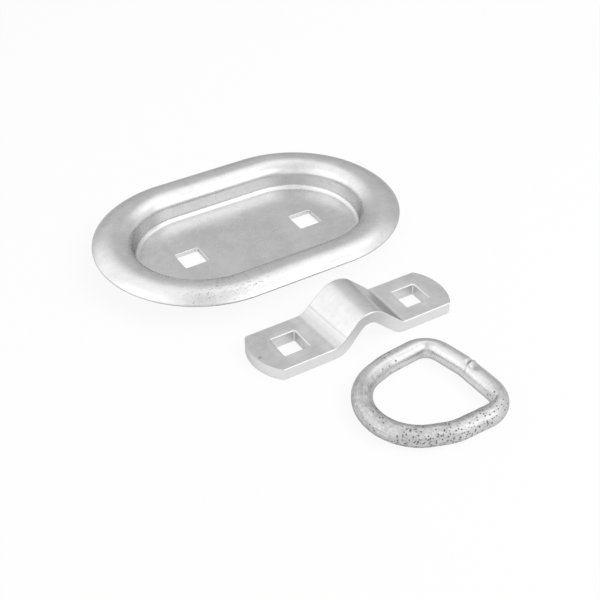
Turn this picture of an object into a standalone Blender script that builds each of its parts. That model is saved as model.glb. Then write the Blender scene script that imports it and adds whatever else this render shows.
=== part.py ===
"""Floor tie-down ring kit: a pressed oval recess pan, a bent saddle bracket and a welded D-ring.

The three loose pieces lie one in front of the other on a flat surface, as the kit is supplied.
Bolted down, the saddle sits on the pan's floor and holds the ring's straight bar under its hump.
All sizes are in metres. +X runs along the pan, +Y from the ring towards the pan, +Z up.
The origin is on the surface, under the middle of the layout.
"""
import math

import bmesh
import bpy
from mathutils import Matrix, Vector

# Sizes that the pieces share
HOLE_SIDE = 0.011
HOLE_CORNER_RADIUS = 0.0007
HOLE_PITCH = 0.057
BAR_DIAMETER = 0.008

# Saddle bracket, bent from flat bar
STRIP_WIDTH = 0.025
STRIP_THICKNESS = 0.0052
HUMP_SIDE_CLEARANCE = 0.0008
HUMP_HEADROOM = 0.0032
LEFT_LEG_SLOPE = math.radians(45.8)
RIGHT_LEG_SLOPE = math.radians(41.8)
FOOT_BEND_RADIUS = 0.0029
LEFT_END_MARGIN = 0.0158
RIGHT_END_MARGIN = 0.0146
LEFT_END_RADIUS = 0.020
RIGHT_END_RADIUS = 0.0205
LEFT_END_SHIFT = 0.0020
RIGHT_END_SHIFT = -0.0005
CORNER_TRIM = 0.0012
EDGE_ROUND = 0.0005
HOLE_ROLLOVER = 0.0006

# Recess pan, pressed from sheet
PAN_SHEET = 0.002
FLOOR_END_CLEARANCE = 0.0060
FLOOR_WIDTH = 0.0547
RIM_HEIGHT = 0.0140
LIP_BEND_RADIUS = 0.0124
LIP_SLOPE = math.radians(47)
BEAD_BEND_RADIUS = 0.0100
BEAD_SLOPE = math.radians(38)
SHOULDER_BEND_RADIUS = 0.0050
WALL_SLOPE = math.radians(84)
FLOOR_BEND_RADIUS = 0.0024

# D-ring, bent from round bar and butt welded in the middle of its straight side
BAR_SIDE_HALF_LENGTH = 0.0116
LEFT_CORNER_RADIUS = 0.0107
RIGHT_CORNER_RADIUS = 0.0092
LEFT_INNER_RADIUS = 0.0009
RIGHT_INNER_RADIUS = 0.0030
WELD_OFFSET = -0.0020
WELD_BULGE = 0.0010
WELD_BEND_RADIUS = 0.0083
WAIST_REACH = 0.0201
WAIST_OFFSET = 0.0001
WAIST_RADIUS = 0.0211
NOSE_REACH = 0.0253
NOSE_OFFSET = -0.0007
NOSE_RADIUS = 0.0195
FLASH_OFFSET = 0.0022
FLASH_HEIGHT = 0.0005
FLASH_WIDTH = 0.0006
GROOVE_OFFSET = 0.0013
GROOVE_DEPTH = 0.0005
GROOVE_WIDTH = 0.0007
HOLLOW_OFFSET = 0.0019
HOLLOW_DEPTH = 0.0003
HOLLOW_WIDTH = 0.0011

# How the loose pieces lie
PAN_TO_SADDLE_GAP = 0.0138
SADDLE_TO_RING_GAP = 0.0108
SADDLE_SIDESTEP = 0.0046
RING_SIDESTEP = 0.0249
RING_TURN = math.radians(186.7)

# How finely curves are divided, and the angle from which an edge shows as a crease
PAN_END_SEGMENTS = 30
BEND_STEP = math.radians(9)
RING_STEP = math.radians(3)
END_ARC_SEGMENTS = 14
CORNER_SEGMENTS = 3
BAR_SIDES = 18
BAR_STATION = 0.0019
CORNER_STATION = 0.0006
CORNER_REACH = 0.0042
WELD_STATION = 0.0004
WELD_REACH = 0.0044
CREASE_ANGLE = math.radians(36)

# How far a cutter reaches past what it cuts
CUTTER_OVERSHOOT = 0.002

SADDLE_LENGTH = LEFT_END_MARGIN + HOLE_PITCH + RIGHT_END_MARGIN
BAR_RADIUS = BAR_DIAMETER / 2


def clear_scene():
    """Remove whatever the scene holds."""
    for thing in list(bpy.data.objects):
        bpy.data.objects.remove(thing, do_unlink=True)


def metal(name, colour, roughness):
    """A bare metal material."""
    material = bpy.data.materials.new(name)
    material.use_nodes = True
    shader = material.node_tree.nodes["Principled BSDF"]
    shader.inputs["Base Color"].default_value = (*colour, 1)
    shader.inputs["Metallic"].default_value = 1
    shader.inputs["Roughness"].default_value = roughness
    return material


def zinc_sheet():
    """Bright zinc on the pressed sheet."""
    return metal("zinc_sheet", (0.62, 0.62, 0.62), 0.36)


def zinc_strip():
    """Duller zinc on the flat bar."""
    return metal("zinc_strip", (0.56, 0.56, 0.56), 0.42)


def zinc_round_bar():
    """Rough dipped zinc on the round bar."""
    return metal("zinc_round_bar", (0.58, 0.58, 0.57), 0.38)


def make_object(name, mesh_builder, material=None):
    """Turn a bmesh into an object of the scene."""
    mesh = bpy.data.meshes.new(name)
    mesh_builder.normal_update()
    mesh_builder.to_mesh(mesh)
    mesh_builder.free()
    thing = bpy.data.objects.new(name, mesh)
    bpy.context.scene.collection.objects.link(thing)
    if material is not None:
        mesh.materials.append(material)
    return thing


def shade(thing):
    """Smooth shading, with creases kept."""
    thing.data.shade_smooth()
    thing.data.set_sharp_from_angle(angle=CREASE_ANGLE)


def cut(thing, tool, operation):
    """Combine an object with a guide body, which stays out of the model."""
    tool.parent = thing
    tool.hide_render = True
    tool.display_type = "WIRE"
    modifier = thing.modifiers.new(tool.name, "BOOLEAN")
    modifier.operation = operation
    modifier.solver = "EXACT"
    modifier.object = tool


def bend_path(start, heading, moves):
    """Follow straight runs and bends in a plane, as a sheet's top face does.

    A move is ("line", length) or ("bend", radius, angle), where a positive angle turns left.
    Returns the points with the unit normal on the left of the way.
    """
    point = Vector(start)
    stations = [(point.copy(), heading)]
    for move in moves:
        if move[0] == "line":
            point = point + move[1] * Vector((math.cos(heading), math.sin(heading)))
            stations.append((point.copy(), heading))
            continue
        radius, angle = move[1:]
        side = math.copysign(1, angle)
        centre = point + side * radius * Vector((-math.sin(heading), math.cos(heading)))
        steps = max(2, math.ceil(abs(angle) / BEND_STEP))
        for step in range(1, steps + 1):
            turned = heading + angle * step / steps
            point = centre - side * radius * Vector((-math.sin(turned), math.cos(turned)))
            stations.append((point.copy(), turned))
        heading = heading + angle
    return [(place, Vector((-math.sin(way), math.cos(way)))) for place, way in stations]


def offset_path(path, distance):
    """The path moved sideways along its normals."""
    return [place + distance * normal for place, normal in path]


def bridge_rings(builder, rings, closed=False):
    """Join rings of vertices, each to the next, with quads."""
    pairs = list(zip(rings, rings[1:]))
    if closed:
        pairs.append((rings[-1], rings[0]))
    for first, second in pairs:
        count = len(first)
        for index in range(count):
            following = (index + 1) % count
            builder.faces.new((first[index], first[following], second[following], second[index]))


def prism(outline, low, high):
    """A solid between two heights with a closed plan outline, which runs anticlockwise."""
    builder = bmesh.new()
    bottom = [builder.verts.new((x, y, low)) for x, y in outline]
    top = [builder.verts.new((x, y, high)) for x, y in outline]
    bridge_rings(builder, [bottom, top])
    builder.faces.new(bottom[::-1])
    builder.faces.new(top)
    return builder


def rounded_rectangle(width, height, corner_radius):
    """Outline of a rectangle with small round corners, anticlockwise."""
    outline = []
    for quarter, (right, up) in enumerate(((1, 1), (-1, 1), (-1, -1), (1, -1))):
        middle = Vector((right * (width / 2 - corner_radius), up * (height / 2 - corner_radius)))
        for step in range(CORNER_SEGMENTS + 1):
            angle = (quarter + step / CORNER_SEGMENTS) * math.pi / 2
            outline.append(middle + corner_radius * Vector((math.cos(angle), math.sin(angle))))
    return outline


def square_hole_cutter(name, low, high, rollover=0):
    """A square punch, which may flare just under the face at the height given as high."""
    builder = bmesh.new()
    levels = [(low - CUTTER_OVERSHOOT, 0)]
    if rollover:
        levels.append((high - rollover, 0))
    levels.append((high + CUTTER_OVERSHOOT, 0 if not rollover else rollover + CUTTER_OVERSHOOT))
    rings = []
    for height, widening in levels:
        side = HOLE_SIDE + 2 * widening
        outline = rounded_rectangle(side, side, HOLE_CORNER_RADIUS + widening)
        rings.append([builder.verts.new((x, y, height)) for x, y in outline])
    bridge_rings(builder, rings)
    builder.faces.new(rings[0][::-1])
    builder.faces.new(rings[-1])
    return make_object(name, builder)


def punch_bolt_holes(thing, low, high, rollover=0):
    """Two square holes, spaced for the same pair of bolts in every piece that has them."""
    for name, side in (("left", -1), ("right", 1)):
        punch = square_hole_cutter(f"{thing.name}_{name}_punch", low, high, rollover)
        punch.location.x = side * HOLE_PITCH / 2
        cut(thing, punch, "DIFFERENCE")


def pan_section():
    """Top face of the sheet from the outer lip to the edge of the flat floor.

    Each point is its inset from the outer edge and its height. The lip leans outwards, the
    bead rolls over at the rim's height, a tighter shoulder turns it down, and the wall drops
    to a round floor corner.
    """
    bead_drop = BEAD_BEND_RADIUS * (1 - math.cos(BEAD_SLOPE))
    shoulder_drop = SHOULDER_BEND_RADIUS * (math.cos(BEAD_SLOPE) - math.cos(WALL_SLOPE))
    corner_drop = FLOOR_BEND_RADIUS * (1 - math.cos(WALL_SLOPE))
    wall_drop = RIM_HEIGHT - PAN_SHEET - bead_drop - shoulder_drop - corner_drop
    lip_height = RIM_HEIGHT - LIP_BEND_RADIUS * (1 - math.cos(LIP_SLOPE))
    return bend_path((0, lip_height), LIP_SLOPE, [
        ("bend", LIP_BEND_RADIUS, -LIP_SLOPE),
        ("bend", BEAD_BEND_RADIUS, -BEAD_SLOPE),
        ("bend", SHOULDER_BEND_RADIUS, BEAD_SLOPE - WALL_SLOPE),
        ("line", wall_drop / math.sin(WALL_SLOPE)),
        ("bend", FLOOR_BEND_RADIUS, WALL_SLOPE),
    ])


def rim_width():
    """How far the rim reaches outside the flat floor, on every side."""
    return pan_section()[-1][0].x


def pan_size():
    """Overall length and width of the pan."""
    floor_length = SADDLE_LENGTH + 2 * FLOOR_END_CLEARANCE
    return floor_length + 2 * rim_width(), FLOOR_WIDTH + 2 * rim_width()


def oblong(half_straight, radius):
    """Plan outline with two straight sides and two half-round ends, anticlockwise."""
    outline = []
    for side in (1, -1):
        for step in range(PAN_END_SEGMENTS + 1):
            angle = math.pi * (step / PAN_END_SEGMENTS - 0.5)
            point = Vector((half_straight + radius * math.cos(angle), radius * math.sin(angle)))
            outline.append(side * point)
    return outline


def build_pan():
    """The recess pan: both faces of the sheet swept round the oblong, with a flat floor."""
    length, width = pan_size()
    half_straight = (length - width) / 2
    section = pan_section()
    top = offset_path(section, 0)
    underside = offset_path(section, -PAN_SHEET)
    builder = bmesh.new()
    rings = []
    for inset, height in underside[::-1] + top:
        outline = oblong(half_straight, width / 2 - inset)
        rings.append([builder.verts.new((x, y, height)) for x, y in outline])
    bridge_rings(builder, rings)
    builder.faces.new(rings[0][::-1])
    builder.faces.new(rings[-1])
    pan = make_object("recess_pan", builder, zinc_sheet())
    punch_bolt_holes(pan, 0, PAN_SHEET)
    shade(pan)
    return pan


def leg_moves(slope):
    """Length of a leg, and how far the hump reaches from its crest to the flat foot."""
    crest_height = BAR_DIAMETER + HUMP_HEADROOM
    crest_bend = BAR_RADIUS + HUMP_SIDE_CLEARANCE + STRIP_THICKNESS
    bends = crest_bend + FOOT_BEND_RADIUS
    leg = (crest_height - bends * (1 - math.cos(slope))) / math.sin(slope)
    reach = bends * math.sin(slope) + leg * math.cos(slope)
    return leg, reach


def saddle_path():
    """Top face of the bent strip from its left tip to its right tip."""
    left_leg, left_reach = leg_moves(LEFT_LEG_SLOPE)
    right_leg, right_reach = leg_moves(RIGHT_LEG_SLOPE)
    crest_bend = BAR_RADIUS + HUMP_SIDE_CLEARANCE + STRIP_THICKNESS
    left_tip = HOLE_PITCH / 2 + LEFT_END_MARGIN
    right_tip = HOLE_PITCH / 2 + RIGHT_END_MARGIN
    return bend_path((-left_tip, STRIP_THICKNESS), 0, [
        ("line", left_tip - left_reach),
        ("bend", FOOT_BEND_RADIUS, LEFT_LEG_SLOPE),
        ("line", left_leg),
        ("bend", crest_bend, -LEFT_LEG_SLOPE),
        ("bend", crest_bend, -RIGHT_LEG_SLOPE),
        ("line", right_leg),
        ("bend", FOOT_BEND_RADIUS, RIGHT_LEG_SLOPE),
        ("line", right_tip - right_reach),
    ])


def end_outline(margin, radius, shift):
    """One sheared end, from its near corner to its far one, for a strip that points to +X."""
    half_width = STRIP_WIDTH / 2
    tip = HOLE_PITCH / 2 + margin
    outline = []
    for step in range(END_ARC_SEGMENTS + 1):
        across = (half_width - CORNER_TRIM) * (2 * step / END_ARC_SEGMENTS - 1)
        along = tip - radius + math.sqrt(radius ** 2 - (across - shift) ** 2)
        outline.append(Vector((along, across)))
    back = CORNER_TRIM + CUTTER_OVERSHOOT
    near = outline[0] + Vector((-back, -back))
    far = outline[-1] + Vector((-back, back))
    return [near] + outline + [far]


def saddle_outline():
    """Plan outline that trims the strip's two ends, anticlockwise. It clears the strip's sides."""
    right = end_outline(RIGHT_END_MARGIN, RIGHT_END_RADIUS, RIGHT_END_SHIFT)
    left = end_outline(LEFT_END_MARGIN, LEFT_END_RADIUS, -LEFT_END_SHIFT)
    return right + [-point for point in left]


def build_saddle():
    """The saddle: bent flat bar, trimmed to its sheared ends and punched for the bolts."""
    section = rounded_rectangle(STRIP_WIDTH, STRIP_THICKNESS, EDGE_ROUND)
    builder = bmesh.new()
    rings = []
    for place, normal in saddle_path():
        ring = []
        for across, rise in section:
            along, height = place + (rise - STRIP_THICKNESS / 2) * normal
            ring.append(builder.verts.new((along, across, height)))
        rings.append(ring)
    bridge_rings(builder, rings)
    builder.faces.new(rings[0][::-1])
    builder.faces.new(rings[-1])
    bmesh.ops.recalc_face_normals(builder, faces=builder.faces)
    saddle = make_object("saddle_bracket", builder, zinc_strip())
    crest = BAR_DIAMETER + HUMP_HEADROOM + STRIP_THICKNESS
    blank = prism(saddle_outline(), -CUTTER_OVERSHOOT, crest + CUTTER_OVERSHOOT)
    cut(saddle, make_object("saddle_blank", blank), "INTERSECT")
    punch_bolt_holes(saddle, 0, STRIP_THICKNESS, HOLE_ROLLOVER)
    shade(saddle)
    return saddle


def ring_pegs():
    """Pegs that the bar is bent round: name, x towards the nose, y along the bar side, radius."""
    left = ("left", LEFT_CORNER_RADIUS, BAR_SIDE_HALF_LENGTH, LEFT_CORNER_RADIUS)
    right = ("right", RIGHT_CORNER_RADIUS, -BAR_SIDE_HALF_LENGTH, RIGHT_CORNER_RADIUS)
    weld = ("weld", WELD_BEND_RADIUS - WELD_BULGE, WELD_OFFSET, WELD_BEND_RADIUS)
    waist = ("waist", WAIST_REACH, WAIST_OFFSET, WAIST_RADIUS)
    nose = ("nose", NOSE_REACH, NOSE_OFFSET, NOSE_RADIUS)
    return [nose, waist, left, weld, right, waist]


def tangent_direction(first, second):
    """Outward direction of the straight run between two pegs that a line winds round."""
    apart = Vector(second[1:3]) - Vector(first[1:3])
    lean = math.acos((first[3] - second[3]) / apart.length)
    return math.atan2(apart.y, apart.x) - lean


def inward_reach(name, radius, half_sweep, off_middle):
    """How far the bar reaches in from its centreline on a peg's arc.

    In the two corners the bar's inner face is folded tighter than its outer face: both straight
    inner faces run on until a small arc joins them. off_middle is the angle from the middle.
    """
    inner_radius = {"left": LEFT_INNER_RADIUS, "right": RIGHT_INNER_RADIUS}.get(name)
    if inner_radius is None:
        return BAR_RADIUS
    face = radius - BAR_RADIUS
    centre = (face - inner_radius) / math.cos(half_sweep)
    arc_end = math.atan2(
        inner_radius * math.sin(half_sweep), centre + inner_radius * math.cos(half_sweep))
    if off_middle > arc_end:
        return radius - face / math.cos(half_sweep - off_middle)
    across = centre * math.sin(off_middle)
    return radius - centre * math.cos(off_middle) - math.sqrt(inner_radius ** 2 - across ** 2)


def ring_centreline():
    """Closed line wound round the pegs: straight runs between arcs, anticlockwise.

    Returns its points, the bar's reach inwards at each, and the index of each arc's middle.
    """
    pegs = ring_pegs()
    points = []
    reaches = []
    middles = {}
    for index, peg in enumerate(pegs):
        name, x, y, radius = peg
        start = tangent_direction(pegs[index - 1], peg)
        end = tangent_direction(peg, pegs[(index + 1) % len(pegs)])
        half_sweep = (end - start) % (2 * math.pi) / 2
        steps = math.ceil(half_sweep / RING_STEP)
        middles[name] = len(points) + steps
        for step in range(-steps, steps + 1):
            off_middle = half_sweep * step / steps
            angle = start + half_sweep + off_middle
            points.append(Vector((x, y)) + radius * Vector((math.cos(angle), math.sin(angle))))
            reaches.append(inward_reach(name, radius, half_sweep, abs(off_middle)))
    return points, reaches, middles


def measure(points):
    """Distance of each point along a closed line, and the whole length."""
    reached = [0.0]
    for first, second in zip(points, points[1:] + points[:1]):
        reached.append(reached[-1] + (second - first).length)
    return reached[:-1], reached[-1]


def signed_way(way, place, total):
    """Way past a place on a closed line, up to half its length either side."""
    return (way - place + total / 2) % total - total / 2


def station_ways(total, fine_zones):
    """Stations on the closed line, close together in the zones: place, reach, spacing."""
    ways = []
    for place, reach, spacing in fine_zones:
        count = round(reach / spacing)
        ways += [(place + reach * step / count) % total for step in range(-count, count + 1)]
    count = math.ceil(total / BAR_STATION)
    for step in range(count):
        way = total * step / count
        if all(abs(signed_way(way, zone[0], total)) > zone[1] + BAR_STATION / 2 for zone in fine_zones):
            ways.append(way)
    return sorted(ways)


def ring_stations():
    """Stations along the bar: point, reach inwards, and way past the weld's flash."""
    points, reaches, middles = ring_centreline()
    reached, total = measure(points)
    flash = reached[middles["weld"]] - FLASH_OFFSET
    zones = [(flash, WELD_REACH, WELD_STATION)]
    zones += [(reached[middles[name]], CORNER_REACH, CORNER_STATION) for name in ("left", "right")]
    stations = []
    for way in station_ways(total, zones):
        index = max(i for i, start in enumerate(reached) if start <= way)
        after = (index + 1) % len(points)
        share = (way - reached[index]) / (points[after] - points[index]).length
        point = points[index].lerp(points[after], share)
        reach = reaches[index] + (reaches[after] - reaches[index]) * share
        stations.append((point, reach, signed_way(way, flash, total)))
    return stations


def bump(distance, width):
    """A smooth bump of unit height."""
    return math.exp(-(distance / width) ** 2)


def bar_growth(way):
    """How far the bar's upper face stands out near the weld: a flash between two dips."""
    flash = FLASH_HEIGHT * bump(way, FLASH_WIDTH)
    groove = GROOVE_DEPTH * bump(way - GROOVE_OFFSET, GROOVE_WIDTH)
    hollow = HOLLOW_DEPTH * bump(way + HOLLOW_OFFSET, HOLLOW_WIDTH)
    return flash - groove - hollow


def build_ring():
    """The ring: a round bar swept along the closed centreline, resting on the surface."""
    stations = ring_stations()
    count = len(stations)
    builder = bmesh.new()
    rings = []
    for index, (point, reach, way) in enumerate(stations):
        before = stations[index - 1][0]
        after = stations[(index + 1) % count][0]
        along = (after - before).normalized()
        outward = Vector((along.y, -along.x))
        growth = bar_growth(way)
        ring = []
        for step in range(BAR_SIDES):
            angle = 2 * math.pi * (step + 0.5) / BAR_SIDES
            upper = (1 + math.sin(angle)) / 2
            radius = BAR_RADIUS + growth * upper
            side = radius if math.cos(angle) > 0 else radius * reach / BAR_RADIUS
            plan = point + side * math.cos(angle) * outward
            ring.append(builder.verts.new((plan.x, plan.y, BAR_RADIUS + radius * math.sin(angle))))
        rings.append(ring)
    bridge_rings(builder, rings, closed=True)
    bmesh.ops.recalc_face_normals(builder, faces=builder.faces)
    ring = make_object("d_ring", builder, zinc_round_bar())
    shade(ring)
    return ring


def ring_reach():
    """How far the turned ring reaches below and above its straight side's middle, along Y."""
    turn = Matrix.Rotation(RING_TURN, 2)
    heights = [(turn @ point).y for point in ring_centreline()[0]]
    return BAR_RADIUS - min(heights), BAR_RADIUS + max(heights)


def lay_out(pan, saddle, ring):
    """Lay the pieces in a row along Y, with the layout's box centred on the origin."""
    ring_front, ring_back = ring_reach()
    pan_width = pan_size()[1]
    ring_y = ring_front
    saddle_y = ring_y + ring_back + SADDLE_TO_RING_GAP + STRIP_WIDTH / 2
    pan_y = saddle_y + STRIP_WIDTH / 2 + PAN_TO_SADDLE_GAP + pan_width / 2
    middle = (pan_y + pan_width / 2) / 2
    pan.location = (0, pan_y - middle, 0)
    saddle.location = (SADDLE_SIDESTEP, saddle_y - middle, 0)
    ring.location = (RING_SIDESTEP, ring_y - middle, 0)
    ring.rotation_euler.z = RING_TURN


def build():
    """Build the kit."""
    clear_scene()
    lay_out(build_pan(), build_saddle(), build_ring())


build()
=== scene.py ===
"""Looks of the floor tie-down ring kit: finer meshes, zinc materials, studio light and camera.

Sizes are in metres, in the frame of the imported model. The shapes repeat the solids' own
values, with finer curves and with the small marks that the solids leave out.
"""
import math

import bmesh
import bpy
import numpy as np
from mathutils import Matrix, Vector, noise


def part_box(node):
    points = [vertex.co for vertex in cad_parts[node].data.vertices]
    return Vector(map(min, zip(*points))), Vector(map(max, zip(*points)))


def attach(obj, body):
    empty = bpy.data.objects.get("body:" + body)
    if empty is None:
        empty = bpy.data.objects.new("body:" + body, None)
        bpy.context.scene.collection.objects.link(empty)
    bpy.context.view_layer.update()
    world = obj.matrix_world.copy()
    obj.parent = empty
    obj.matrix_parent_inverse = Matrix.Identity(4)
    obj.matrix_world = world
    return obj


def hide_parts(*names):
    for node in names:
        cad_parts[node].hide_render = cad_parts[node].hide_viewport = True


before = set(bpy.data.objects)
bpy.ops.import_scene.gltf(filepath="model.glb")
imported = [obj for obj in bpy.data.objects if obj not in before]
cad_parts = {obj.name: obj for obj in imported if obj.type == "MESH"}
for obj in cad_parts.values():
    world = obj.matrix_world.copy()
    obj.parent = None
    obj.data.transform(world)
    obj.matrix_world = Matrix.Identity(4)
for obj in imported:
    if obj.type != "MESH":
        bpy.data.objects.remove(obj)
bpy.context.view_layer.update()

# Shared sizes
HOLE_SIDE = 0.011
HOLE_CORNER_RADIUS = 0.0007
HOLE_PITCH = 0.057
BAR_DIAMETER = 0.008
BAR_RADIUS = BAR_DIAMETER / 2

# Saddle bracket
STRIP_WIDTH = 0.025
STRIP_THICKNESS = 0.0052
HUMP_SIDE_CLEARANCE = 0.0008
HUMP_HEADROOM = 0.0032
HUMP_RISE = BAR_DIAMETER + HUMP_HEADROOM
CREST_BEND_RADIUS = BAR_RADIUS + HUMP_SIDE_CLEARANCE + STRIP_THICKNESS
LEFT_LEG_SLOPE = math.radians(45.8)
RIGHT_LEG_SLOPE = math.radians(41.8)
LEFT_FOOT_BEND_RADIUS = 0.0055
RIGHT_FOOT_BEND_RADIUS = 0.0029
LEFT_END_MARGIN = 0.0158
RIGHT_END_MARGIN = 0.0146
LEFT_END_RADIUS = 0.020
RIGHT_END_RADIUS = 0.0205
LEFT_END_SHIFT = 0.0020
RIGHT_END_SHIFT = -0.0005
CORNER_TRIM = 0.0012
EDGE_ROUND = 0.0005
SADDLE_HOLE_ROLLOVER = 0.0006
SADDLE_LENGTH = LEFT_END_MARGIN + HOLE_PITCH + RIGHT_END_MARGIN

# The left bend's skew: drift along the strip, and where along the strip it is full and fades
BEND_SKEW = -0.070
BEND_DRIFT = 0.00045
SKEW_MIDDLE = -0.0155
SKEW_HALF_LENGTH = 0.0030
SKEW_FADE = 0.0110

# Recess pan
PAN_SHEET = 0.002
FLOOR_END_CLEARANCE = 0.0060
FLOOR_WIDTH = 0.0547
RIM_HEIGHT = 0.0140
LIP_BEND_RADIUS = 0.0124
LIP_SLOPE = math.radians(47)
BEAD_BEND_RADIUS = 0.0100
BEAD_SLOPE = math.radians(38)
SHOULDER_BEND_RADIUS = 0.0050
WALL_SLOPE = math.radians(84)
FLOOR_BEND_RADIUS = 0.0024
LIP_EDGE_ROUND = 0.0005
PAN_HOLE_ROLLOVER = 0.0003

# Way that the pan's UV coordinate counts round each of its ends, the same on every ring
PAN_END_RUN = 0.04 * math.pi

# D-ring, with each peg that its bar is wound round as x, y, radius and inner radius
BAR_SIDE_HALF_LENGTH = 0.0116
LEFT_CORNER_RADIUS = 0.0107
RIGHT_CORNER_RADIUS = 0.0092
LEFT_INNER_RADIUS = 0.0009
RIGHT_INNER_RADIUS = 0.0030
WELD_OFFSET = -0.0020
WELD_BULGE = 0.0010
WELD_BEND_RADIUS = 0.0083
WAIST = (0.0201, 0.0001, 0.0211, None)
NOSE = (0.0253, -0.0007, 0.0195, None)
FLASH_OFFSET = 0.0022
LUMP_SCALE = 420
LUMP_HEIGHT = 0.00004

# The weld's lean along the bar for each radian round it, and the angle where it is none
WELD_LEAN = 0.0012
WELD_LEAN_START = 0.8

# The weld's flash, groove and hollow, as height, way past it, half width, angle and half angle
WELD_FORMS = [
    (0.00050, 0.0, 0.00060, 1.5, 0.85),
    (-0.00070, 0.0014, 0.00070, 1.30, 0.65),
    (-0.00070, -0.0024, 0.0015, 1.40, 0.50),
]

# Where the pieces lie
PAN_MIDDLE = sum(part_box("recess_pan"), Vector()) / 2
SADDLE_PLACE = Vector((0.0046, sum(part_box("saddle_bracket"), Vector()).y / 2, 0))
RING_PLACE = Vector((0.0249, -0.0701744, 0))
RING_TURN = math.radians(186.7)

# Marks of wear, and a patch of painted shade among the ring's nicks, as place in millimetres, radius,
# soft margin and weight
PAN_SCUFFS = [
    ((-41.0, 15.5, 12.0), 7.0, 6.0, 0.55),
    ((-30.0, 8.0, 11.0), 8.0, 6.0, 0.60),
    ((-17.0, 8.0, 11.0), 7.0, 6.0, 0.45),
    ((12.0, 40.0, 2.0), 5.0, 5.0, 0.25),
]
PAN_NICKS = [
    ((-4.6, 76.0, 13.0), 0.35, 0.25, 0.8),
    ((36.0, 86.0, 13.0), 0.40, 0.25, 0.8),
]
SADDLE_NICKS = [
    ((-35.2, -35.5, 4.6), 0.60, 0.30, 0.9),
    ((-37.9, -24.7, 5.0), 0.50, 0.50, 0.5),
    ((6.9, -26.2, 8.0), 0.40, 0.30, 0.5),
    ((-1.0, -9.4, 8.0), 0.40, 0.30, 0.5),
]
SADDLE_HOLES = [
    ((-23.9, -23.2, 3.0), 8.6, 0.5, 1.0),
    ((33.1, -23.2, 3.0), 8.6, 0.5, 1.0),
]
RING_BOW = [
    ((-14.0, -80.0, 4.0), 17.0, 14.0, 1.0),
    ((18.0, -93.0, 5.0), 8.0, 9.0, 0.45),
]
RING_PITS = [
    ((-19.0, -76.0, 3.0), 4.0, 4.0, 0.45),
    ((-13.0, -89.5, 1.5), 6.0, 3.5, 1.0),
    ((-3.0, -97.0, 1.5), 6.5, 3.5, 1.0),
    ((10.0, -97.0, 3.5), 5.0, 4.0, 0.60),
    ((22.0, -92.5, 4.5), 5.0, 4.0, 0.40),
    ((1.2, -52.7, 7.0), 4.0, 4.0, 0.22),
]
# A dark nick on the ring, then painted shade on the inner face by its right corner
RING_NICKS_AND_CORNER_SHADE = [
    ((-12.5, -61.5, 7.0), 0.45, 0.5, 0.35),
    ((17.8, -56.2, 5.0), 0.8, 1.0, 0.35),
]

# Painted shade: a dark line on the pan's cut edge, as way across it from the underside, half width
# and weight
PAN_EDGE_SHADE = [(0.0017, 0.0014, 0.60)]

# The saddle's raised marks, lines of painted shade beside them and bands of painted light and shade
# at the bends, as way along it, half width and weight
BEND_MARKS = [(0.0322, 0.0006, 0.7), (0.0334, 0.0006, -0.6), (0.0674, 0.0006, 0.6)]
BEND_SHADE_LINES = [(0.0335, 0.0007, 0.22), (0.0662, 0.0005, 0.20)]
# Painted light at the right bend and on the left foot beside its bend, and painted shade in the left
# bend
BEND_LIGHT_AND_SHADE = [(0.0674, 0.0034, 0.80), (0.0252, 0.0036, 0.36), (0.0304, 0.0030, -0.34)]

# Zinc: darkest and lightest grey, lowest and highest roughness, and strength of the relief
PAN_GREYS = (0.67, 0.75)
PAN_ROUGHNESS = (0.24, 0.30)
PAN_RELIEF = 0.07
SADDLE_GREYS = (0.60, 0.90)
SADDLE_ROUGHNESS = (0.27, 0.34)
SADDLE_RELIEF = 0.10
CUT_EDGE_GREY = 0.75
CUT_EDGE_ROUGHNESS = 0.10
RING_GREYS = (0.43, 0.74)
RING_ROUGHNESS = (0.25, 0.33)
RING_RELIEF = 0.22
BOW_ROUGHNESS = 0.14
BOW_DULLNESS = 0.18
ZINC_SPECULAR = 0.62
# Grey that the dark marks, both dirt and painted shade, multiply into the colour
DIRT_AND_SHADE_GREY = 0.33
RELIEF_HEIGHT = 0.0004

# How finely curves are divided
BEND_STEP = math.radians(2.5)
PEG_STEP = math.radians(1)
STRAIGHT_STEP = 0.001
PAN_END_SEGMENTS = 96
PAN_SIDE_SEGMENTS = 24
LIP_EDGE_SEGMENTS = 5
STRIP_EDGE_SEGMENTS = 5
HOLE_CORNER_SEGMENTS = 4
SHEARED_END_SEGMENTS = 40
ROLLOVER_SEGMENTS = 6
BAR_SIDES = 64
BAR_STATION = 0.00036

# Cutting tools, and the angles past which an edge stays sharp
ROLLOVER_SWEEP = math.radians(75)
CUTTER_OVERSHOOT = 0.002
CUTTER_FLARE = 3 * CUTTER_OVERSHOOT
CREASE = math.radians(32)
RING_CREASE = math.radians(70)

# Table: its glow in reflections goes from near to far in one direction
TABLE_HALF_SIDE = 3
TABLE_DROP = 0.00005
TABLE_GREY = 0.9
TABLE_AWAY = (0.52, 0.85, 0)
TABLE_NEAR = 0.02
TABLE_FAR = 0.22
TABLE_NEAR_GLOW = 1.15
TABLE_FAR_GLOW = 0.72
TABLE_SEEN_SHARE = 0.9
TABLE_MIRRORED_SHARE = 0.5

# Studio and camera
WHITE = (1, 1, 1, 1)
WORLD_LEVEL = 0.65
DOME_RADIUS = 2
DOME_SIDES = 48
DOME_ROWS = 24
DOME_ROW_ANGLE = 4
DOME_LEVEL = 0.94
CAMERA_LENS = 66.0
CAMERA_SENSOR = 36.0
CAMERA_PLACE = (-0.1894, -0.3000, 0.2773)
CAMERA_AIM = (-0.00305, 0.0032, 0)

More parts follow.
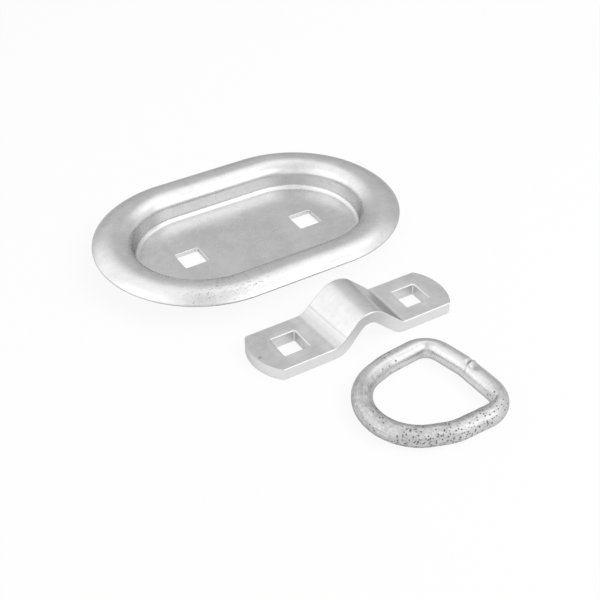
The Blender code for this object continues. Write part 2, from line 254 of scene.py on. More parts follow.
# The dome's soft patches, as compass angle, height angle, inner and outer radius and gain
DOME_PATCHES = [
    (57, 15, 34, 53, -0.29),
    (-66, 22, 20, 46, -0.30),
    (-35, 40, 22, 43, 0.36),
    (-65, 36, 14, 33, 0.85),
    (129, 44, 26, 46, 0.31),
    (-178, 29, 16, 44, 0.44),
    (17, 60, 6, 27, 0.46),
    (-17, 29, 14, 36, -0.19),
    (-105, 22, 8, 30, 0.14),
]


def place_object(name, data):
    """A new object in the scene."""
    thing = bpy.data.objects.new(name, data)
    bpy.context.scene.collection.objects.link(thing)
    return thing


def new_object(name, verts, faces, uvs=None):
    """An object from points and faces, with a UV coordinate per point."""
    mesh = bpy.data.meshes.new(name)
    mesh.from_pydata([tuple(vert) for vert in verts], [], faces)
    if uvs is not None:
        layer = mesh.uv_layers.new(name="run")
        for loop in mesh.loops:
            layer.data[loop.index].uv = uvs[loop.vertex_index]
    mesh.update()
    return place_object(name, mesh)


def ring_faces(count, rings, closed):
    """Quads between neighbouring rings of points, each ring closed on itself."""
    faces = []
    for row in range(rings if closed else rings - 1):
        below = row * count
        above = (row + 1) % rings * count
        for step in range(count):
            after = (step + 1) % count
            faces.append((below + step, below + after, above + after, above + step))
    return faces


def face_out(thing):
    """Turn every face outwards."""
    work = bmesh.new()
    work.from_mesh(thing.data)
    bmesh.ops.recalc_face_normals(work, faces=work.faces)
    work.to_mesh(thing.data)
    work.free()


def capped_body(name, verts, rings, uvs=None):
    """A closed body from a stack of rings of points, with a face on the first and the last ring."""
    count = len(verts) // rings
    first_cap = tuple(range(count))[::-1]
    last_cap = tuple(range(len(verts) - count, len(verts)))
    body = new_object(name, verts, ring_faces(count, rings, False) + [first_cap, last_cap], uvs)
    face_out(body)
    return body


def settle(thing):
    """Make the result of an object's modifiers its own mesh."""
    bpy.context.view_layer.update()
    graph = bpy.context.evaluated_depsgraph_get()
    mesh = bpy.data.meshes.new_from_object(thing.evaluated_get(graph))
    thing.modifiers.clear()
    thing.data = mesh


def shade(thing, crease=CREASE):
    """Smooth shading in which creases and flat faces stay as they are."""
    thing.data.shade_smooth()
    thing.data.set_sharp_from_angle(angle=crease)
    modifier = thing.modifiers.new("even", "WEIGHTED_NORMAL")
    modifier.keep_sharp = True
    settle(thing)


def cut(thing, tool, operation):
    """Combine an object with another body and drop that body."""
    modifier = thing.modifiers.new("cut", "BOOLEAN")
    modifier.operation = operation
    modifier.solver = "EXACT"
    modifier.object = tool
    settle(thing)
    bpy.data.objects.remove(tool, do_unlink=True)


def ahead(angle):
    """Unit vector in a direction."""
    return Vector((math.cos(angle), math.sin(angle)))


def left_of(angle):
    """Unit vector to the left of a direction."""
    return Vector((-math.sin(angle), math.cos(angle)))


def bend_path(start, heading, moves):
    """Follow straight runs and bends in a plane: point, unit normal on the left, way so far."""
    point = Vector(start)
    way = 0.0
    stations = [(point, left_of(heading), way)]
    for move in moves:
        if move[0] == "line":
            steps = max(1, round(move[1] / STRAIGHT_STEP))
            for _ in range(steps):
                point = point + move[1] / steps * ahead(heading)
                way += move[1] / steps
                stations.append((point, left_of(heading), way))
            continue
        radius, angle = move[1:]
        side = math.copysign(1, angle)
        centre = point + side * radius * left_of(heading)
        steps = max(2, math.ceil(abs(angle) / BEND_STEP))
        for step in range(1, steps + 1):
            turned = heading + angle * step / steps
            point = centre - side * radius * left_of(turned)
            stations.append((point, left_of(turned), way + radius * abs(angle) * step / steps))
        heading += angle
        way += radius * abs(angle)
    return stations


def rounded_rectangle(width, height, radius, segments):
    """Outline of a rectangle with round corners, anticlockwise."""
    outline = []
    for quarter, (right, up) in enumerate(((1, 1), (-1, 1), (-1, -1), (1, -1))):
        middle = Vector((right * (width / 2 - radius), up * (height / 2 - radius)))
        for step in range(segments + 1):
            angle = (quarter + step / segments) * math.pi / 2
            outline.append(middle + radius * ahead(angle))
    return outline


def punch(place, high, rollover):
    """A square punch whose upper end flares in an arc, as the sheared edge does."""
    levels = [(-CUTTER_OVERSHOOT, 0.0), (high - rollover, 0.0)]
    for step in range(1, ROLLOVER_SEGMENTS + 1):
        angle = step / ROLLOVER_SEGMENTS * ROLLOVER_SWEEP
        height = high - rollover + rollover * math.sin(angle)
        levels.append((height, rollover * (1 - math.cos(angle))))
    levels.append((high + CUTTER_OVERSHOOT, levels[-1][1] + CUTTER_FLARE))
    verts = []
    for height, widening in levels:
        side = HOLE_SIDE + 2 * widening
        corner = HOLE_CORNER_RADIUS + widening
        for x, y in rounded_rectangle(side, side, corner, HOLE_CORNER_SEGMENTS):
            verts.append((place.x + x, place.y + y, height))
    return capped_body("punch", verts, len(levels))


def punch_holes(thing, middle, high, rollover):
    """Punch a piece's two square holes, at the pitch that the pan and the saddle share."""
    for side in (-1, 1):
        place = Vector((middle.x + side * HOLE_PITCH / 2, middle.y))
        cut(thing, punch(place, high, rollover), "DIFFERENCE")


def pan_section():
    """Top face of the sheet, from the lip to the flat floor: inset and height."""
    bead_drop = BEAD_BEND_RADIUS * (1 - math.cos(BEAD_SLOPE))
    shoulder_drop = SHOULDER_BEND_RADIUS * (math.cos(BEAD_SLOPE) - math.cos(WALL_SLOPE))
    corner_drop = FLOOR_BEND_RADIUS * (1 - math.cos(WALL_SLOPE))
    wall_drop = RIM_HEIGHT - PAN_SHEET - bead_drop - shoulder_drop - corner_drop
    lip_height = RIM_HEIGHT - LIP_BEND_RADIUS * (1 - math.cos(LIP_SLOPE))
    return bend_path((0, lip_height), LIP_SLOPE, [
        ("bend", LIP_BEND_RADIUS, -LIP_SLOPE),
        ("bend", BEAD_BEND_RADIUS, -BEAD_SLOPE),
        ("bend", SHOULDER_BEND_RADIUS, BEAD_SLOPE - WALL_SLOPE),
        ("line", wall_drop / math.sin(WALL_SLOPE)),
        ("bend", FLOOR_BEND_RADIUS, WALL_SLOPE),
    ])


def lip_edge(place, normal):
    """The sheet's cut edge with both corners eased, from underside to top."""
    along = Vector((normal.y, -normal.x))
    points = []
    for low in (True, False):
        for step in range(LIP_EDGE_SEGMENTS + 1):
            share = step / LIP_EDGE_SEGMENTS
            angle = math.pi / 2 * (share if low else 1 - share)
            inset = LIP_EDGE_ROUND * (1 - math.sin(angle))
            depth = LIP_EDGE_ROUND * (1 - math.cos(angle))
            if low:
                depth = PAN_SHEET - depth
            points.append(place + inset * along - depth * normal)
    return points


def pan_ring(point, half_straight, half_width, across):
    """One ring round the pan through a point of its section: points, and UV coordinates."""
    radius = half_width - point.x
    verts = []
    uvs = []
    around = 0.0
    for side in (1, -1):
        for step in range(PAN_END_SEGMENTS + 1):
            angle = math.pi * (step / PAN_END_SEGMENTS - 0.5)
            reach = Vector((half_straight + radius * math.cos(angle), radius * math.sin(angle)))
            spot = PAN_MIDDLE.xy + side * reach
            verts.append((spot.x, spot.y, point.y))
            uvs.append((around + PAN_END_RUN * step / PAN_END_SEGMENTS, across))
        around += PAN_END_RUN
        for step in range(1, PAN_SIDE_SEGMENTS):
            share = step / PAN_SIDE_SEGMENTS
            x = side * half_straight * (1 - 2 * share)
            verts.append((PAN_MIDDLE.x + x, PAN_MIDDLE.y + side * radius, point.y))
            uvs.append((around + 2 * half_straight * share, across))
        around += 2 * half_straight
    return verts, uvs


def build_pan():
    """The pan: both faces of the sheet, the eased lip and the flat floor with its holes."""
    section = pan_section()
    half_straight = (SADDLE_LENGTH + 2 * FLOOR_END_CLEARANCE - FLOOR_WIDTH) / 2
    half_width = (FLOOR_WIDTH + 2 * section[-1][0].x) / 2
    body = [(place, normal) for place, normal, way in section if way > LIP_EDGE_ROUND]
    under = [place - PAN_SHEET * normal for place, normal in body][::-1]
    lip_place, lip_normal, _ = section[0]
    profile = under + lip_edge(lip_place, lip_normal) + [place for place, _ in body]
    across = -sum((after - before).length for before, after in zip(under, under[1:]))
    last = profile[0]
    verts = []
    uvs = []
    for point in profile:
        across += (point - last).length
        last = point
        ring_verts, ring_uvs = pan_ring(point, half_straight, half_width, across)
        verts += ring_verts
        uvs += ring_uvs
    pan = capped_body("zinc_pan", verts, len(profile), uvs)
    punch_holes(pan, PAN_MIDDLE, PAN_SHEET, PAN_HOLE_ROLLOVER)
    shade(pan)
    return pan


def leg_moves(slope, foot_bend):
    """Length of a leg, and how far the hump reaches from its crest to the flat foot."""
    bends = CREST_BEND_RADIUS + foot_bend
    leg = (HUMP_RISE - bends * (1 - math.cos(slope))) / math.sin(slope)
    return leg, bends * math.sin(slope) + leg * math.cos(slope)


def saddle_path():
    """Top face of the bent strip from its left tip to its right tip."""
    left_leg, left_reach = leg_moves(LEFT_LEG_SLOPE, LEFT_FOOT_BEND_RADIUS)
    right_leg, right_reach = leg_moves(RIGHT_LEG_SLOPE, RIGHT_FOOT_BEND_RADIUS)
    left_tip = HOLE_PITCH / 2 + LEFT_END_MARGIN
    right_tip = HOLE_PITCH / 2 + RIGHT_END_MARGIN
    return bend_path((-left_tip, STRIP_THICKNESS), 0, [
        ("line", left_tip - left_reach),
        ("bend", LEFT_FOOT_BEND_RADIUS, LEFT_LEG_SLOPE),
        ("line", left_leg),
        ("bend", CREST_BEND_RADIUS, -LEFT_LEG_SLOPE),
        ("bend", CREST_BEND_RADIUS, -RIGHT_LEG_SLOPE),
        ("line", right_leg),
        ("bend", RIGHT_FOOT_BEND_RADIUS, RIGHT_LEG_SLOPE),
        ("line", right_tip - right_reach),
    ])


def end_outline(margin, radius, shift):
    """One sheared end, from its near corner to its far one, for a strip that points to +X."""
    half_width = STRIP_WIDTH / 2
    tip = HOLE_PITCH / 2 + margin
    outline = []
    for step in range(SHEARED_END_SEGMENTS + 1):
        across = (half_width - CORNER_TRIM) * (2 * step / SHEARED_END_SEGMENTS - 1)
        along = tip - radius + math.sqrt(radius ** 2 - (across - shift) ** 2)
        outline.append(Vector((along, across)))
    back = CORNER_TRIM + CUTTER_OVERSHOOT
    near_corner = outline[0] + Vector((-back, -back))
    far_corner = outline[-1] + Vector((-back, back))
    return [near_corner] + outline + [far_corner]


def saddle_blank():
    """The plan outline of the sheared strip, as a tall body."""
    right = end_outline(RIGHT_END_MARGIN, RIGHT_END_RADIUS, RIGHT_END_SHIFT)
    left = end_outline(LEFT_END_MARGIN, LEFT_END_RADIUS, -LEFT_END_SHIFT)
    outline = [SADDLE_PLACE.xy + point for point in right + [-point for point in left]]
    high = HUMP_RISE + STRIP_THICKNESS + CUTTER_OVERSHOOT
    verts = [(x, y, level) for level in (-CUTTER_OVERSHOOT, high) for x, y in outline]
    return capped_body("blank", verts, 2)


def askew(along, across):
    """The left bend was pressed a little out of square: how far it drifts along the strip."""
    off_middle = abs(along - SKEW_MIDDLE)
    near = min(1.0, max(0.0, 1.0 - (off_middle - SKEW_HALF_LENGTH) / SKEW_FADE))
    return (BEND_DRIFT + BEND_SKEW * across) * near * near * (3 - 2 * near)


def build_saddle():
    """The saddle: bent strip with eased edges, sheared ends and punched holes."""
    section = rounded_rectangle(STRIP_WIDTH, STRIP_THICKNESS, EDGE_ROUND, STRIP_EDGE_SEGMENTS)
    path = saddle_path()
    verts = []
    uvs = []
    for place, normal, way in path:
        for across, rise in section:
            along, height = place + (rise - STRIP_THICKNESS / 2) * normal
            along += askew(along, across)
            verts.append((SADDLE_PLACE.x + along, SADDLE_PLACE.y + across, height))
            uvs.append((way, across))
    saddle = capped_body("zinc_saddle", verts, len(path), uvs)
    cut(saddle, saddle_blank(), "INTERSECT")
    punch_holes(saddle, SADDLE_PLACE, STRIP_THICKNESS, SADDLE_HOLE_ROLLOVER)
    shade(saddle)
    return saddle


def inward_reach(inner_radius, radius, half_sweep, off_middle):
    """How far the bar reaches in from its centreline, where a corner's inner face is folded tight."""
    if inner_radius is None:
        return BAR_RADIUS
    face = radius - BAR_RADIUS
    centre = (face - inner_radius) / math.cos(half_sweep)
    end_along = centre + inner_radius * math.cos(half_sweep)
    arc_end = math.atan2(inner_radius * math.sin(half_sweep), end_along)
    if off_middle > arc_end:
        return radius - face / math.cos(half_sweep - off_middle)
    across = centre * math.sin(off_middle)
    return radius - centre * math.cos(off_middle) - math.sqrt(inner_radius ** 2 - across ** 2)


def tangent(first, second):
    """Angle at which the bar leaves one peg for the next one."""
    apart = Vector(second[:2]) - Vector(first[:2])
    return math.atan2(apart.y, apart.x) - math.acos((first[2] - second[2]) / apart.length)


def ring_centreline():
    """Closed line wound round the pegs: x, y and reach inwards, and the index of the weld."""
    left = (LEFT_CORNER_RADIUS, BAR_SIDE_HALF_LENGTH, LEFT_CORNER_RADIUS, LEFT_INNER_RADIUS)
    right = (RIGHT_CORNER_RADIUS, -BAR_SIDE_HALF_LENGTH, RIGHT_CORNER_RADIUS, RIGHT_INNER_RADIUS)
    weld = (WELD_BEND_RADIUS - WELD_BULGE, WELD_OFFSET, WELD_BEND_RADIUS, None)
    pegs = [NOSE, WAIST, left, weld, right, WAIST]
    points = []
    weld_index = 0
    for index, peg in enumerate(pegs):
        x, y, radius, inner_radius = peg
        start = tangent(pegs[index - 1], peg)
        half_sweep = (tangent(peg, pegs[(index + 1) % len(pegs)]) - start) % (2 * math.pi) / 2
        steps = math.ceil(half_sweep / PEG_STEP)
        if peg is weld:
            weld_index = len(points) + steps
        for step in range(-steps, steps + 1):
            off_middle = half_sweep * step / steps
            angle = start + half_sweep + off_middle
            reach = inward_reach(inner_radius, radius, half_sweep, abs(off_middle))
            points.append((x + radius * math.cos(angle), y + radius * math.sin(angle), reach))
    return np.array(points), weld_index


def ring_stations():
    """Even stations along the bar: place and reach, way forward, and way past the weld flash."""
    points, weld_index = ring_centreline()
    closed = np.vstack([points, points[:1]])
    steps = np.linalg.norm(np.diff(closed[:, :2], axis=0), axis=1)
    reached = np.concatenate([[0], np.cumsum(steps)])
    total = reached[-1]
    count = math.ceil(total / BAR_STATION)
    way = np.arange(count) * total / count
    at = (reached[weld_index] - FLASH_OFFSET + way) % total
    place = np.stack([np.interp(at, reached, column) for column in closed.T], axis=1)
    forward = np.roll(place, -1, axis=0)[:, :2] - np.roll(place, 1, axis=0)[:, :2]
    forward /= np.linalg.norm(forward, axis=1)[:, None]
    past = np.where(way > total / 2, way - total, way)
    return place.tolist(), forward.tolist(), past.tolist()


def bump_at(distance, width):
    """A smooth bump of unit height."""
    return math.exp(-(distance / width) ** 2)


def weld_growth(past, angle):
    """How far the bar stands out near the weld, at a way past it and an angle round the bar."""
    lean = past + WELD_LEAN * (angle - WELD_LEAN_START)
    growth = 0.0
    for height, place, width, middle, half_angle in WELD_FORMS:
        growth += height * bump_at(lean - place, width) * bump_at(angle - middle, half_angle)
    return growth


def build_ring():
    """The ring: a round bar swept along the centreline, with its weld and small unevenness."""
    place, forward, past = ring_stations()
    turn = Matrix.Rotation(RING_TURN, 2)
    verts = []
    uvs = []
    for (x, y, reach), (forward_x, forward_y), way in zip(place, forward, past):
        outward = Vector((forward_y, -forward_x))
        for step in range(BAR_SIDES):
            angle = 2 * math.pi * step / BAR_SIDES
            radius = BAR_RADIUS + weld_growth(way, angle)
            side = radius if math.cos(angle) > 0 else radius * reach / BAR_RADIUS
            plan = Vector((x, y)) + side * math.cos(angle) * outward
            height = BAR_RADIUS + radius * math.sin(angle)
            lump = noise.noise(Vector((plan.x, plan.y, height)) * LUMP_SCALE) * LUMP_HEIGHT
            plan = turn @ (plan + lump * math.cos(angle) * outward)
            verts.append((RING_PLACE.x + plan.x, RING_PLACE.y + plan.y, max(0.0, height)))
            uvs.append((way, angle * BAR_RADIUS))
    ring = new_object("zinc_ring", verts, ring_faces(BAR_SIDES, len(place), True), uvs)
    face_out(ring)
    shade(ring, RING_CREASE)
    return ring


def grey_colour(level):
    """An opaque grey."""
    return (level, level, level, 1)


class Nodes:
    """Short calls that add nodes to a material."""

    def __init__(self, name):
        self.material = bpy.data.materials.new(name)
        self.material.use_nodes = True
        self.tree = self.material.node_tree
        self.shader = self.tree.nodes["Principled BSDF"]

    def add(self, kind, settings=None, **inputs):
        """A node with its settings, and with its inputs by name, or by number as i0, i1."""
        node = self.tree.nodes.new(kind)
        for key, value in (settings or {}).items():
            setattr(node, key, value)
        for key, value in inputs.items():
            self.give(node, key, value)
        return node

    def give(self, node, key, value):
        """Link another node's output to an input, or set the input's own value."""
        numbered = key[0] == "i" and key[1:].isdigit()
        socket = node.inputs[int(key[1:]) if numbered else key.replace("_", " ")]
        if isinstance(value, bpy.types.NodeSocket):
            self.tree.links.new(value, socket)
        else:
            socket.default_value = value

    def show(self, surface):
        """Use a shader's output as the surface, in place of the first shader."""
        self.tree.nodes.remove(self.shader)
        self.give(self.tree.nodes["Material Output"], "Surface", surface)

    def glow(self, strength):
        """White light at a strength."""
        return self.add("ShaderNodeEmission", Color=WHITE, Strength=strength).outputs[0]

    def place(self):
        """Place of the point in the frame of the model."""
        return self.add("ShaderNodeTexCoord").outputs["Object"]

    def run(self):
        """Way along the piece and across it."""
        return self.add("ShaderNodeUVMap", {"uv_map": "run"}).outputs["UV"]

    def part(self, vector, axis):
        """One component of a vector."""
        return self.add("ShaderNodeSeparateXYZ", Vector=vector).outputs[axis]

    def stretch(self, vector, scale):
        """A vector scaled along each axis."""
        return self.add("ShaderNodeMapping", Vector=vector, Scale=scale).outputs["Vector"]

    def cloud(self, vector, scale, detail, rough=0.55):
        """Soft noise at a scale."""
        shape = {"Scale": scale, "Detail": detail, "Roughness": rough}
        return self.add("ShaderNodeTexNoise", Vector=vector, **shape).outputs["Fac"]

    def spread(self, value, low, high, to_low=0.0, to_high=1.0):
        """Smooth passage from one level to another while a value goes from low to high."""
        node = self.add("ShaderNodeMapRange", {"interpolation_type": "SMOOTHSTEP"}, Value=value)
        node.inputs["From Min"].default_value = low
        node.inputs["From Max"].default_value = high
        node.inputs["To Min"].default_value = to_low
        node.inputs["To Max"].default_value = to_high
        return node.outputs["Result"]

    def math(self, operation, first, second=0.0):
        """A calculation with one or two values."""
        return self.add("ShaderNodeMath", {"operation": operation}, i0=first, i1=second).outputs[0]

    def sum(self, first, *others):
        """Sum of two or more values."""
        for other in others:
            first = self.math("ADD", first, other)
        return first

    def product(self, first, second):
        """Product of two values."""
        return self.math("MULTIPLY", first, second)

    def less(self, first, second):
        """Difference of two values."""
        return self.math("SUBTRACT", first, second)

    def blend(self, *shares):
        """Sum of values, each given with its weight."""
        return self.sum(*[self.product(value, weight) for value, weight in shares])

    def vector(self, operation, first, second=(0, 0, 0)):
        """The outputs of a calculation with one or two vectors."""
        return self.add("ShaderNodeVectorMath", {"operation": operation}, i0=first, i1=second).outputs

    def dot(self, vector, direction):
        """How far a vector goes in a direction."""
        return self.vector("DOT_PRODUCT", vector, direction)["Value"]

    def spot(self, vector, centre, radius, soft):
        """One near a point, falling to none past the radius."""
        away = self.vector("DISTANCE", vector, centre)["Value"]
        return self.spread(away, radius, radius + soft, 1.0, 0.0)

    def line(self, value, at, half_width):
        """One on a line where a value is at a level, falling smoothly to none."""
        off = self.math("ABSOLUTE", self.less(value, at))
        return self.spread(off, 0.0, half_width, 1.0, 0.0)

    def pits(self, vector, scale, share, radius):
        """Round pits in a share of the cells of a loose pattern: one inside a pit, none outside."""
        cells = self.add("ShaderNodeTexVoronoi", Vector=vector, Scale=scale)
        luck = self.add("ShaderNodeSeparateColor", Color=cells.outputs["Color"]).outputs["Red"]
        inside = self.spread(cells.outputs["Distance"], radius / 2, radius, 1.0, 0.0)
        return self.product(inside, self.math("LESS_THAN", luck, share))

    def patches(self, vector, places):
        """Sum of soft round patches: place in millimetres, radius, soft margin and weight."""
        shares = []
        for place, radius, soft, weight in places:
            centre = tuple(value / 1000 for value in place)
            shares.append((self.spot(vector, centre, radius / 1000, soft / 1000), weight))
        return self.blend(*shares)

    def lines(self, value, entries):
        """Sum of soft lines: level, half width and weight."""
        shares = [(self.line(value, at, half_width), weight) for at, half_width, weight in entries]
        return self.blend(*shares)

    def mix(self, share, first, second, kind="MIX"):
        """Two colours mixed by a share. The colours are the node's inputs six and seven."""
        settings = {"data_type": "RGBA", "blend_type": kind}
        return self.add("ShaderNodeMix", settings, i0=share, i6=first, i7=second).outputs[2]

    def grey(self, share, dark, light):
        """A grey between two levels."""
        return self.mix(share, grey_colour(dark), grey_colour(light))


def finish_zinc(nodes, tone, dirt_and_shade, roughness, height, depth):
    """Join up a zinc surface: its colour, dark marks of dirt and of painted shade, roughness and
    small relief.
    """
    nodes.give(nodes.shader, "Metallic", 1.0)
    nodes.give(nodes.shader, "Specular_Tint", grey_colour(ZINC_SPECULAR))
    nodes.give(nodes.shader, "Base_Color", nodes.mix(dirt_and_shade, tone, grey_colour(DIRT_AND_SHADE_GREY), "MULTIPLY"))
    nodes.give(nodes.shader, "Roughness", roughness)
    relief = {"Height": nodes.less(height, dirt_and_shade), "Strength": depth, "Distance": RELIEF_HEIGHT}
    nodes.give(nodes.shader, "Normal", nodes.add("ShaderNodeBump", **relief).outputs["Normal"])
    return nodes.material


def pan_zinc():
    """Bright satin zinc on pressed sheet: clouds, grain, scuffs on the near rim, a few nicks and
    painted shade along the cut edge.
    """
    nodes = Nodes("zinc_sheet_fine")
    place = nodes.place()
    clouds = nodes.cloud(place, scale=70.0, detail=4.0)
    grain = nodes.cloud(place, scale=1400.0, detail=2.0)
    blotch = nodes.cloud(place, scale=330.0, detail=3.0)
    long_cells = nodes.stretch(place, (420.0, 1500.0, 1500.0))
    streaks = nodes.cloud(long_cells, scale=1.0, detail=4.0, rough=0.7)
    tone = nodes.blend((clouds, 0.45), (grain, 0.25), (blotch, 0.30))
    scuffs = nodes.product(nodes.spread(streaks, 0.58, 0.66), nodes.patches(place, PAN_SCUFFS))
    specks = nodes.product(nodes.pits(place, scale=330.0, share=0.10, radius=0.09), 0.5)
    # Painted shade along the lip's cut edge
    painted_edge_shade = nodes.lines(nodes.part(nodes.run(), "Y"), PAN_EDGE_SHADE)
    dirt_and_shade = nodes.sum(scuffs, nodes.patches(place, PAN_NICKS), specks, painted_edge_shade)
    rough = nodes.spread(clouds, 0.3, 0.7, *PAN_ROUGHNESS)
    relief = nodes.blend((grain, 0.5), (blotch, 0.5))
    tint = nodes.grey(nodes.spread(tone, 0.38, 0.62), *PAN_GREYS)
    return finish_zinc(nodes, tint, dirt_and_shade, rough, relief, PAN_RELIEF)


def saddle_zinc():
    """Satin zinc on rolled bar: lines along the strip, press marks at the bends with painted shade
    lines and bands of painted light and shade, and small nicks.
    """
    nodes = Nodes("zinc_strip_fine")
    place = nodes.place()
    run = nodes.run()
    along = nodes.part(run, "X")
    clouds = nodes.cloud(place, scale=90.0, detail=3.0)
    blotch = nodes.cloud(place, scale=420.0, detail=4.0)
    long_cells = nodes.stretch(run, (60.0, 900.0, 1.0))
    drawn = nodes.cloud(long_cells, scale=1.0, detail=3.0)
    tone = nodes.blend((clouds, 0.4), (drawn, 0.25), (blotch, 0.35))
    holes = nodes.patches(place, SADDLE_HOLES)
    normal = nodes.add("ShaderNodeNewGeometry").outputs["Normal"]
    upright = nodes.math("ABSOLUTE", nodes.part(normal, "Z"))
    sheared = nodes.product(nodes.spread(upright, 0.2, 0.5, 1.0, 0.0), nodes.less(1.0, holes))
    rolled = nodes.less(1.0, sheared)
    # Bands of painted light and shade at the bends, kept off the cut edges
    painted_bend_light_and_shade = nodes.product(nodes.lines(along, BEND_LIGHT_AND_SHADE), rolled)
    tint = nodes.grey(nodes.sum(nodes.spread(tone, 0.38, 0.62, 0.23, 0.47), painted_bend_light_and_shade), *SADDLE_GREYS)
    tint = nodes.mix(sheared, tint, grey_colour(CUT_EDGE_GREY))
    specks = nodes.product(nodes.pits(place, scale=420.0, share=0.12, radius=0.12), 0.5)
    # Painted shade: dark lines beside the raised bend marks
    painted_crease_shade = nodes.product(nodes.lines(along, BEND_SHADE_LINES), rolled)
    dirt_and_shade = nodes.sum(nodes.patches(place, SADDLE_NICKS), specks, painted_crease_shade)
    rough = nodes.spread(clouds, 0.3, 0.7, *SADDLE_ROUGHNESS)
    rough = nodes.sum(rough, nodes.product(nodes.sum(sheared, holes), CUT_EDGE_ROUGHNESS))
    marks = nodes.product(nodes.lines(along, BEND_MARKS), rolled)
    relief = nodes.blend((drawn, 0.3), (blotch, 0.4), (marks, 9.0))
    return finish_zinc(nodes, tint, dirt_and_shade, rough, relief, SADDLE_RELIEF)


def ring_zinc():
    """Dipped zinc on round bar: a dull lumpy bow, brighter legs, draw lines, dark pits, and painted
    shade by one tight corner.
    """
    nodes = Nodes("zinc_round_bar_fine")
    place = nodes.place()
    clouds = nodes.cloud(place, scale=160.0, detail=4.0)
    blotch = nodes.cloud(place, scale=700.0, detail=4.0, rough=0.65)
    long_cells = nodes.stretch(nodes.run(), (150.0, 1700.0, 1.0))
    drawn = nodes.cloud(long_cells, scale=1.0, detail=4.0, rough=0.65)
    bow = nodes.patches(place, RING_BOW)
    mixed = nodes.less(nodes.blend((blotch, 0.5), (drawn, 0.5)), 0.5)
    uneven = nodes.product(mixed, nodes.sum(0.6, nodes.product(bow, 1.1)))
    tone = nodes.sum(nodes.product(clouds, 0.3), nodes.sum(uneven, 0.40))
    tone = nodes.less(tone, nodes.product(bow, BOW_DULLNESS))
    pitted = nodes.patches(place, RING_PITS)
    small_pits = nodes.pits(place, scale=900.0, share=pitted, radius=0.40)
    large_pits = nodes.pits(place, scale=560.0, share=nodes.product(pitted, 0.6), radius=0.32)
    # Pits and nicks, with the painted shade patch among the nicks
    dirt_and_shade = nodes.sum(small_pits, large_pits, nodes.patches(place, RING_NICKS_AND_CORNER_SHADE))
    dirt_and_shade = nodes.add("ShaderNodeClamp", Value=dirt_and_shade).outputs[0]
    rough = nodes.spread(clouds, 0.3, 0.7, *RING_ROUGHNESS)
    rough = nodes.sum(rough, nodes.product(bow, BOW_ROUGHNESS))
    relief = nodes.blend((uneven, 1.2), (clouds, 0.3))
    tint = nodes.grey(nodes.spread(tone, 0.15, 0.75), *RING_GREYS)
    return finish_zinc(nodes, tint, dirt_and_shade, rough, relief, RING_RELIEF)


def dress(thing, material, node):
    """Give a piece its material and put it in the place of its plain solid."""
    thing.data.materials.clear()
    thing.data.materials.append(material)
    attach(thing, "root")
    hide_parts(node)


def add_floor():
    corners = [(-1, -1), (1, -1), (1, 1), (-1, 1)]
    verts = [(TABLE_HALF_SIDE * x, TABLE_HALF_SIDE * y, 0) for x, y in corners]
    floor = new_object("table", verts, [(0, 1, 2, 3)])
    floor.location.z = -TABLE_DROP
    nodes = Nodes("table_white")
    paper = nodes.add("ShaderNodeBsdfDiffuse", Color=grey_colour(TABLE_GREY))
    rays = nodes.add("ShaderNodeLightPath").outputs
    mirrored = nodes.math("MAXIMUM", rays["Is Glossy Ray"], rays["Is Transmission Ray"])
    away = nodes.dot(nodes.place(), TABLE_AWAY)
    level = nodes.spread(away, TABLE_NEAR, TABLE_FAR, TABLE_NEAR_GLOW, TABLE_FAR_GLOW)
    level = nodes.sum(nodes.product(level, mirrored), rays["Is Camera Ray"])
    share = nodes.blend((rays["Is Camera Ray"], TABLE_SEEN_SHARE), (mirrored, TABLE_MIRRORED_SHARE))
    mix = nodes.add("ShaderNodeMixShader", i0=share, i1=paper.outputs[0], i2=nodes.glow(level))
    nodes.show(mix.outputs[0])
    floor.data.materials.append(nodes.material)


def add_world(level):
    """White to the camera and in reflections, and a plain level for the rest."""
    world = bpy.data.worlds.new("studio")
    bpy.context.scene.world = world
    world.use_nodes = True
    tree = world.node_tree
    path = tree.nodes.new("ShaderNodeLightPath")
    seen = path.outputs["Is Camera Ray"]
    for name in ("Is Glossy Ray", "Is Transmission Ray"):
        either = tree.nodes.new("ShaderNodeMath")
        either.operation = "MAXIMUM"
        tree.links.new(seen, either.inputs[0])
        tree.links.new(path.outputs[name], either.inputs[1])
        seen = either.outputs[0]
    strength = tree.nodes.new("ShaderNodeMapRange")
    strength.inputs["To Min"].default_value = level
    strength.inputs["To Max"].default_value = 1.0
    tree.links.new(seen, strength.inputs["Value"])
    background = tree.nodes["Background"]
    background.inputs["Color"].default_value = WHITE
    tree.links.new(strength.outputs["Result"], background.inputs["Strength"])


def toward(azimuth, elevation):
    """Unit vector at a compass angle and a height angle, in degrees."""
    azimuth = math.radians(azimuth)
    elevation = math.radians(elevation)
    flat = math.cos(elevation)
    return Vector((flat * math.cos(azimuth), flat * math.sin(azimuth), math.sin(elevation)))


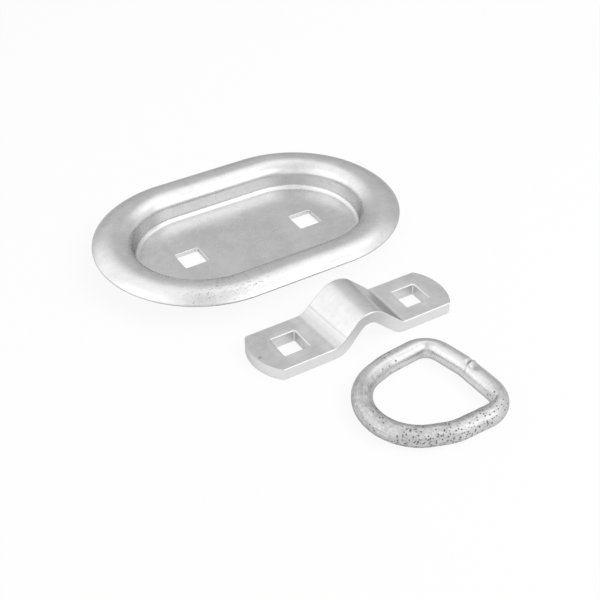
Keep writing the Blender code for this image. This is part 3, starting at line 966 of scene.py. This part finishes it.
def softbox(name, azimuth, elevation, width, height, energy):
    light = bpy.data.lights.new(name, "AREA")
    light.shape = "RECTANGLE"
    light.size = width
    light.size_y = height
    light.energy = energy
    lamp = place_object(name, light)
    lamp.location = toward(azimuth, elevation)
    lamp.rotation_euler = lamp.location.to_track_quat("Z", "Y").to_euler()
    lamp.visible_camera = False
    lamp.visible_glossy = False


def add_dome(level, patches):
    """The studio, seen in reflections only: a plain level with soft brighter and darker patches."""
    verts = [(0, 0, DOME_RADIUS)]
    for row in range(1, DOME_ROWS + 1):
        for step in range(DOME_SIDES):
            azimuth = step * 360 / DOME_SIDES
            verts.append(toward(azimuth, 90 - row * DOME_ROW_ANGLE) * DOME_RADIUS)
    faces = [(0, 1 + step, 1 + (step + 1) % DOME_SIDES) for step in range(DOME_SIDES)]
    for face in ring_faces(DOME_SIDES, DOME_ROWS, False):
        faces.append(tuple(corner + 1 for corner in face))
    dome = new_object("studio_dome", verts, faces)
    nodes = Nodes("studio_light")
    way = nodes.vector("NORMALIZE", nodes.place())["Vector"]
    for azimuth, elevation, inner, outer, gain in patches:
        near = nodes.dot(way, toward(azimuth, elevation))
        patch = nodes.spread(near, math.cos(math.radians(outer)), math.cos(math.radians(inner)))
        level = nodes.sum(level, nodes.product(patch, gain))
    nodes.show(nodes.glow(level))
    dome.data.materials.append(nodes.material)
    dome.visible_camera = False
    dome.visible_diffuse = False
    dome.visible_shadow = False


def add_camera():
    """The photograph's viewpoint."""
    camera = bpy.data.cameras.new("view")
    camera.lens = CAMERA_LENS
    camera.sensor_width = CAMERA_SENSOR
    eye = place_object("view", camera)
    eye.location = CAMERA_PLACE
    aim = Vector(CAMERA_AIM) - eye.location
    eye.rotation_euler = aim.to_track_quat("-Z", "Y").to_euler()
    bpy.context.scene.camera = eye


dress(build_pan(), pan_zinc(), "recess_pan")
dress(build_saddle(), saddle_zinc(), "saddle_bracket")
dress(build_ring(), ring_zinc(), "d_ring")
add_floor()
add_world(WORLD_LEVEL)
softbox("key", azimuth=-50, elevation=50, width=0.7, height=0.7, energy=5.5)
add_dome(DOME_LEVEL, DOME_PATCHES)
add_camera()
bpy.context.scene.view_settings.view_transform = "Standard"
